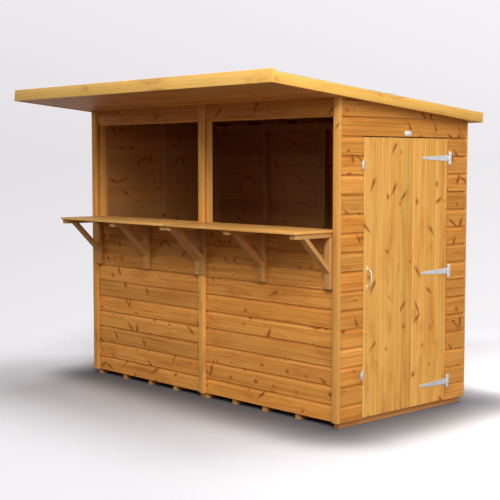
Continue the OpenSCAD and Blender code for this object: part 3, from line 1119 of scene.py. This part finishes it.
@dataclass
class Door:
    """The ledged and braced door with its hinges, handle and turn buttons."""

    boards: int = 7
    ledge: float = 0.090
    heights: tuple[float, ...] = (0.155, 0.849, 1.545)
    axis_x: float = 1.206
    axis_y: float = 0.654

    def build(self) -> None:
        """Make the door, its fittings and the plain plate over it."""
        self._boards()
        self._back()
        self._hinges()
        self._handle()
        self._buttons()
        self._plate()

    def _boards(self) -> None:
        """Stand the boards, chamfered where they meet."""
        low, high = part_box("door_boards")
        wood = Joinery("door_planks", 91)
        pitch = (high.y - low.y) / self.boards
        c = 0.0034
        for k in range(self.boards):
            w = pitch - 0.0015
            wood.moulding([(0, 0), (w, 0), (w, 0.012 - c), (w - c, 0.012), (c, 0.012),
                           (0, 0.012 - c)],
                          Vector((low.x, low.y + k * pitch + 0.00075, low.z)),
                          Vector((0, 0, high.z - low.z)), Vector((0, 1, 0)),
                          Vector((1, 0, 0)), Vector((1, 0, 0)))
        wood.close(Finish.DOOR, "door_boards", "door", ["door_boards"])

    def _back(self) -> None:
        """Fix the ledges and braces behind the boards."""
        low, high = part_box("door_ledges")
        wood = Joinery("door_back_ledges", 92)
        for z in self.heights:
            wood.board((low.x, low.y, z - self.ledge / 2), (high.x, high.y, z + self.ledge / 2),
                       Axis.Y, 0.003, 2)
        wood.close(Finish.FRAMING, "door_frame", "door", ["door_ledges"], smooth=50)
        y0, y1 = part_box("door_boards")[0].y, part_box("door_boards")[1].y
        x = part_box("door_braces")[0].x
        wood = Joinery("door_back_braces", 93)
        for i in (0, 1):
            foot = self.heights[i] + self.ledge / 2
            head = self.heights[i + 1] - self.ledge / 2
            outline = [(y1 - 0.02, foot), (y1 - 0.02, foot + 0.1), (y0 + 0.11, head),
                       (y0 + 0.02, head), (y0 + 0.02, head - 0.02), (y1 - 0.1, foot)]
            way = Vector((0, y0 - y1 + 0.13, head - foot - 0.1)).normalized()
            wood.moulding(outline, Vector((x, 0, 0)), Vector((0.02, 0, 0)), Vector((0, 1, 0)),
                          Vector((0, 0, 1)), Vector((1, 0, 0)), grain=way)
        wood.close(Finish.FRAMING, "door_frame", "door", ["door_braces"])

    def _barrel(self, metal: Joinery, low: float, high: float, radius: float) -> None:
        """Add a round knuckle or pin about the hinge's axis."""
        made = bmesh.ops.create_cone(metal.bm, cap_ends=True, segments=24, radius1=radius,
                                     radius2=radius, depth=high - low)["verts"]
        bmesh.ops.translate(metal.bm, vec=(self.axis_x, self.axis_y, (low + high) / 2),
                            verts=made)
        rims = [e for e in edges_of(made) if e.calc_face_angle(0.0) > 1.0]
        metal.ease(rims, 0.0006, 2)
        metal.settle()

    def _hinges(self) -> None:
        """Forge the tee hinges: blade and middle knuckle, plate and outer knuckles."""
        out, side, up = (axis.value for axis in Axis)
        blades = Joinery("tee_blades", 94)
        plates = Joinery("tee_plates", 95)
        screws = Joinery("tee_blade_screws", 96)
        wall_screws = Joinery("tee_plate_screws", 97)
        back = self.axis_x - 0.006
        for z in self.heights:
            outline = [(0, -0.0148), (-0.009, -0.0148), (-0.009, -0.0182), (-0.235, -0.0078)]
            for k in range(9):
                angle = -math.pi / 2 - math.pi * k / 8
                outline.append((-0.2455 + 0.0082 * math.cos(angle),
                                0.0076 * math.sin(angle)))
            outline += [(-0.235, 0.0078), (-0.009, 0.0182), (-0.009, 0.0148), (0, 0.0148)]
            blades.moulding(outline, Vector((back, self.axis_y, z)), Vector((0.0024, 0, 0)),
                            side, up, out, ease=0.0004)
            self._barrel(blades, z - 0.0148, z + 0.0148, 0.0054)
            plates.board((back, self.axis_y + 0.0066, z - 0.040),
                         (back + 0.0024, self.axis_y + 0.029, z + 0.040), Axis.Z, 0.0006, 2)
            for foot in (-0.040, 0.0156):
                plates.board((back, self.axis_y + 0.0005, z + foot),
                             (back + 0.0024, self.axis_y + 0.0075, z + foot + 0.0244), Axis.Z, 0.0)
                self._barrel(plates, z + foot, z + foot + 0.0244, 0.0054)
            self._barrel(plates, z - 0.042, z + 0.042, 0.0024)
            for way, rise in ((-0.024, 0.009), (-0.024, -0.009), (-0.075, 0.0), (-0.130, 0.0),
                              (-0.185, 0.0), (-0.238, 0.0)):
                screws.screw(Vector((back + 0.0024, self.axis_y + way, z + rise)), out)
            for rise in (-0.028, 0.0, 0.028):
                wall_screws.screw(Vector((back + 0.0024, self.axis_y + 0.019, z + rise)), out)
        blades.close(Finish.ZINC, "zinc", "door", ["hinge_straps"], smooth=40)
        plates.close(Finish.ZINC, "zinc", "shell", ["hinge_plates"], smooth=40)
        screws.close(Finish.ZINC, "zinc", "door", smooth=40)
        wall_screws.close(Finish.ZINC, "zinc", "shell", smooth=40)

    def _handle(self) -> None:
        """Bend the bow handle and forge a leaf pad at each end."""
        low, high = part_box("door_handle")
        y = (low.y + high.y) / 2
        metal = Joinery("bow_handle", 98)
        out, side, up = (axis.value for axis in Axis)
        for foot, way in ((low.z, 1), (high.z, -1)):
            outline = []
            for k in range(20):
                angle = 2 * math.pi * k / 20
                pinch = 0.0088 * (1.0 - 0.35 * math.cos(angle))
                outline.append((pinch * math.sin(angle) * 0.98,
                                way * (0.018 - 0.0178 * math.cos(angle))))
            metal.moulding(outline, Vector((low.x, y, foot)), Vector((0.0024, 0, 0)), side, up,
                           out, ease=0.0004)
            metal.screw(Vector((low.x + 0.0024, y, foot + way * 0.0075)), out, 0.0034)
        start = Vector((low.x + 0.001, y, low.z + 0.024))
        span = high.z - low.z - 0.048
        steps = 26
        ring = bmesh.ops.create_circle(metal.bm, segments=14, radius=0.0043)["verts"]
        edges = edges_of(ring)
        path = []
        for k in range(steps + 1):
            angle = math.pi * k / steps
            bulge = max(0.0, math.sin(angle)) ** 0.62
            path.append(start + out * (0.0345 * bulge) + up * (span * (1 - math.cos(angle)) / 2))
        way = (path[1] - path[0]).normalized()
        turn = Vector((0, 0, 1)).rotation_difference(way).to_matrix().to_4x4()
        bmesh.ops.transform(metal.bm, matrix=Matrix.Translation(path[0]) @ turn, verts=ring)
        for k in range(1, steps + 1):
            ahead = path[min(k + 1, steps)] - path[k - 1]
            swing = way.rotation_difference(ahead.normalized()).to_matrix().to_4x4()
            made = bmesh.ops.extrude_edge_only(metal.bm, edges=edges)["geom"]
            ring = [v for v in made if isinstance(v, bmesh.types.BMVert)]
            edges = [e for e in made if isinstance(e, bmesh.types.BMEdge)]
            bmesh.ops.transform(metal.bm, verts=ring, matrix=(
                Matrix.Translation(path[k]) @ swing @ Matrix.Translation(-path[k - 1])))
            way = ahead.normalized()
        loose = [e for e in metal.bm.edges if e.is_boundary]
        bmesh.ops.holes_fill(metal.bm, edges=loose, sides=0)
        bmesh.ops.recalc_face_normals(metal.bm, faces=metal.bm.faces)
        metal.settle()
        metal.close(Finish.HANDLE, "zinc", "door", ["door_handle"], smooth=45)

    def _buttons(self) -> None:
        """Cast the two turn buttons and set their screws."""
        out, side, up = (axis.value for axis in Axis)
        for name, seed in (("upper_turn_button", 101), ("lower_turn_button", 102)):
            low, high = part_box(name)
            middle = (low + high) / 2
            metal = Joinery(name + "_cast", seed)
            outline = []
            for k in range(32):
                angle = 2 * math.pi * k / 32
                outline.append((0.0109 * math.cos(angle), 0.0299 * math.sin(angle)))
            metal.moulding(outline, Vector((low.x, middle.y, middle.z)),
                           Vector((0.0029, 0, 0)), side, up, out, ease=0.0007)
            metal.close(Finish.ZINC, "zinc", name, [name], smooth=45)
        low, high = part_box("turn_button_screws")
        metal = Joinery("button_screws", 103)
        y = (low.y + high.y) / 2
        for z in (low.z + 0.007, high.z - 0.007):
            at = Vector((low.x, y, z))
            metal.disc(at, out, 0.0068, 0.0057, 24)
            metal.disc(at + out * 0.0057, out, 0.0024, 0.0035, 16)
            metal.disc(at + out * 0.0092, out, 0.0049, 0.0022, 20, 0.0009)
        metal.close(Finish.ZINC, "zinc", "shell", ["turn_button_screws"], smooth=40)

    def _plate(self) -> None:
        """Fix the plain plate over the door."""
        low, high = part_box("blank_plate")
        out, side, up = (axis.value for axis in Axis)
        plate = Joinery("plain_plate_over_door", 104)
        half_y, half_z, round_off = (high.y - low.y) / 2, (high.z - low.z) / 2 - 0.002, 0.0125
        outline = []
        for sy, sz, base in ((1, 1, 0), (-1, 1, 1), (-1, -1, 2), (1, -1, 3)):
            for k in range(5):
                angle = math.pi / 2 * (base + k / 4)
                outline.append((sy * (half_y - round_off) + round_off * math.cos(angle),
                                sz * (half_z - round_off) + round_off * math.sin(angle)))
        plate.moulding(outline, Vector((low.x, (low.y + high.y) / 2, (low.z + high.z) / 2)),
                       Vector((high.x - low.x, 0, 0)), side, up, out, ease=0.0004)
        plate.close(Finish.PLATE, "plate", "shell", ["blank_plate"], smooth=45)


# ---------------------------------------------------------------- studio


@dataclass(frozen=True)
class Lamp:
    """A square soft lamp."""

    name: str
    place: tuple[float, float, float]
    size: float
    power: float


@dataclass
class Studio:
    """Floor with painted shade, soft lamps, pale surround with painted shade, and the camera."""

    eye: tuple[float, float, float] = (5.5399, -5.0000, 1.5262)
    yaw: float = 47.39
    tilt: float = -4.4735
    lens: float = 81.78
    backdrop: tuple[tuple[int, int, int], ...] = ((226, 223, 226), (247, 244, 247))
    aim: tuple[float, float, float] = (0.0, 0.0, 0.9)
    # floor tones, which paint shade onto the floor by place
    floor_painted_shade: Colour = (0.42, 0.413, 0.429, 1)
    floor_fore: Colour = (0.66, 0.648, 0.67, 1)
    floor_side: Colour = (0.80, 0.787, 0.81, 1)
    floor_rear: Colour = (0.72, 0.709, 0.735, 1)
    floor_painted_base_shadow: Colour = (0.15, 0.147, 0.158, 1)
    floor_speck: Colour = (0.60, 0.59, 0.60, 1)
    floor_bounce: Colour = (0.3, 0.3, 0.3, 1)
    lamps: tuple[Lamp, ...] = (
        Lamp("key", (5.0, -5.0, 5.5), 3.0, 395.0),
        Lamp("right_wash", (7.0, -4.0, 4.0), 4.0, 190.0),
        Lamp("right_low", (8.0, -2.0, 2.2), 3.0, 52.0),
        Lamp("left_fill", (-5.0, -6.0, 4.0), 3.0, 112.0),
        Lamp("overhead", (0.0, 0.0, 7.0), 5.0, 82.0),
        Lamp("right_top", (4.0, 0.5, 6.0), 3.0, 75.0),
        Lamp("rear_top", (0.0, 4.0, 6.0), 4.0, 480.0))

    def build(self) -> None:
        """Set up everything that isn't part of the shed."""
        scene = bpy.context.scene
        scene.view_settings.view_transform = "Standard"
        self._floor()
        self._world()
        for lamp in self.lamps:
            self._hang(lamp)
        camera = bpy.data.objects.new("camera", bpy.data.cameras.new("camera"))
        scene.collection.objects.link(camera)
        camera.location = self.eye
        camera.rotation_euler = (math.radians(90 + self.tilt), 0, math.radians(self.yaw))
        camera.data.lens = self.lens
        camera.data.sensor_width = 36.0
        scene.camera = camera

    def _hang(self, lamp: Lamp) -> None:
        """Hang one square soft lamp that faces the shed."""
        data = bpy.data.lights.new(lamp.name, "AREA")
        data.shape = "SQUARE"
        data.size = lamp.size
        data.energy = lamp.power
        light = bpy.data.objects.new(lamp.name, data)
        bpy.context.scene.collection.objects.link(light)
        light.location = lamp.place
        way = Vector(self.aim) - Vector(lamp.place)
        light.rotation_euler = way.to_track_quat("-Z", "Y").to_euler()

    def _floor(self) -> None:
        """Lay a round floor that takes the shed's shadow."""
        bm = bmesh.new()
        bmesh.ops.create_circle(bm, cap_ends=True, segments=96, radius=30.0)
        mesh = bpy.data.meshes.new("studio_floor")
        bm.to_mesh(mesh)
        bm.free()
        floor = bpy.data.objects.new("studio_floor", mesh)
        bpy.context.scene.collection.objects.link(floor)
        mesh.materials.append(self._paper())

    def _paper(self) -> bpy.types.Material:
        """Paint shade on the floor by place: a painted shadow at the shed's base, painted shade
        that pales further out, clear far off.

        Returns:
            The material, which throws the same light on the shed wherever it is.
        """
        material, g = new_material("studio_floor")
        place = g.place()
        x, y, _ = g.split(place)
        fine = g.noise(place, 40.0, 2.0)
        seen = g.node("ShaderNodeLightPath", None, None, "Is Camera Ray")
        aside = (x.curve("ABSOLUTE") - 1.2).at_least(0.0)
        ahead = ((y - 0.25).curve("ABSOLUTE") - 0.58).at_least(0.0)
        away = (aside * aside + ahead * ahead).curve("SQRT")
        # painted shade: darker behind and close to the shed, paler towards the front, on the open
        # right side and far to the rear
        fore = (x * -0.45 + y * -0.9 + 0.25).step(0.0, 1.6)
        side = (x * 0.5 + 0.5).at_least(0.0).at_most(1.0)
        pale = g.mix(fore, self.floor_painted_shade, self.floor_fore)
        open_part = (away - 0.36 + side * 0.16).step(0.0, 0.40) * side
        pale = g.mix(open_part, pale, self.floor_side)
        rear = (x * -1.0 + y * 0.5 - 1.35).step(0.0, 0.7)
        pale = g.mix(rear, pale, self.floor_rear)
        # painted shadow: the floor turns dark close to the shed's base
        pale = g.mix(away.step(0.47, 0.0), pale, self.floor_painted_base_shadow)
        pale = g.mix(fine * 0.05, pale, self.floor_speck)
        paper = g.node("ShaderNodeBsdfDiffuse", None, {0: g.mix(seen, self.floor_bounce, pale)})
        clear = g.node("ShaderNodeBsdfTransparent")
        far_off = (away * 0.6 + fore * away * 0.55).step(0.65, 2.0)
        both = g.node("ShaderNodeMixShader", None, {0: far_off, 1: paper, 2: clear})
        g.node("ShaderNodeOutputMaterial", None, {"Surface": both})
        return material

    def _world(self) -> None:
        """Surround the shed with soft light, and with a pale backdrop for the eye, darker towards
        the horizon and the left as painted shade.
        """
        world = bpy.data.worlds.new("studio")
        bpy.context.scene.world = world
        world.use_nodes = True
        g = Graph(world.node_tree)
        light = g.node("ShaderNodeBackground", None, {0: (1.0, 0.995, 1.0, 1.0), 1: 0.02})
        way = g.node("ShaderNodeTexCoord", None, None, "Generated")
        x, y, z = g.split(way)
        # painted shade: the backdrop darkens towards the horizon and to the left
        pale = (x * 0.76 + y * 0.83 + z.curve("ABSOLUTE") * 3.2 + 0.26).at_least(0.0).at_most(1.0)
        tint = g.mix(pale, srgb(*self.backdrop[0]), srgb(*self.backdrop[1]))
        seen = g.node("ShaderNodeBackground", None, {0: tint, 1: 1.0})
        path = g.node("ShaderNodeLightPath", None, None, "Is Camera Ray")
        shine = g.other(path, "Is Glossy Ray")
        clear = g.other(path, "Is Transmission Ray")
        eye = (path + shine + clear).at_most(1.0)
        both = g.node("ShaderNodeMixShader", None, {0: eye, 1: light, 2: seen})
        g.node("ShaderNodeOutputWorld", None, {"Surface": both})


def main() -> None:
    """Build the shed from the ground up, then the studio."""
    logging.basicConfig(level=logging.INFO, format="%(name)s %(message)s")
    for part in (Floor(), Walls(), RoofWork(), Counter(), Door(), Studio()):
        log.info("building %s", type(part).__name__)
        part.build()


if __name__ == "__main__":
    main()
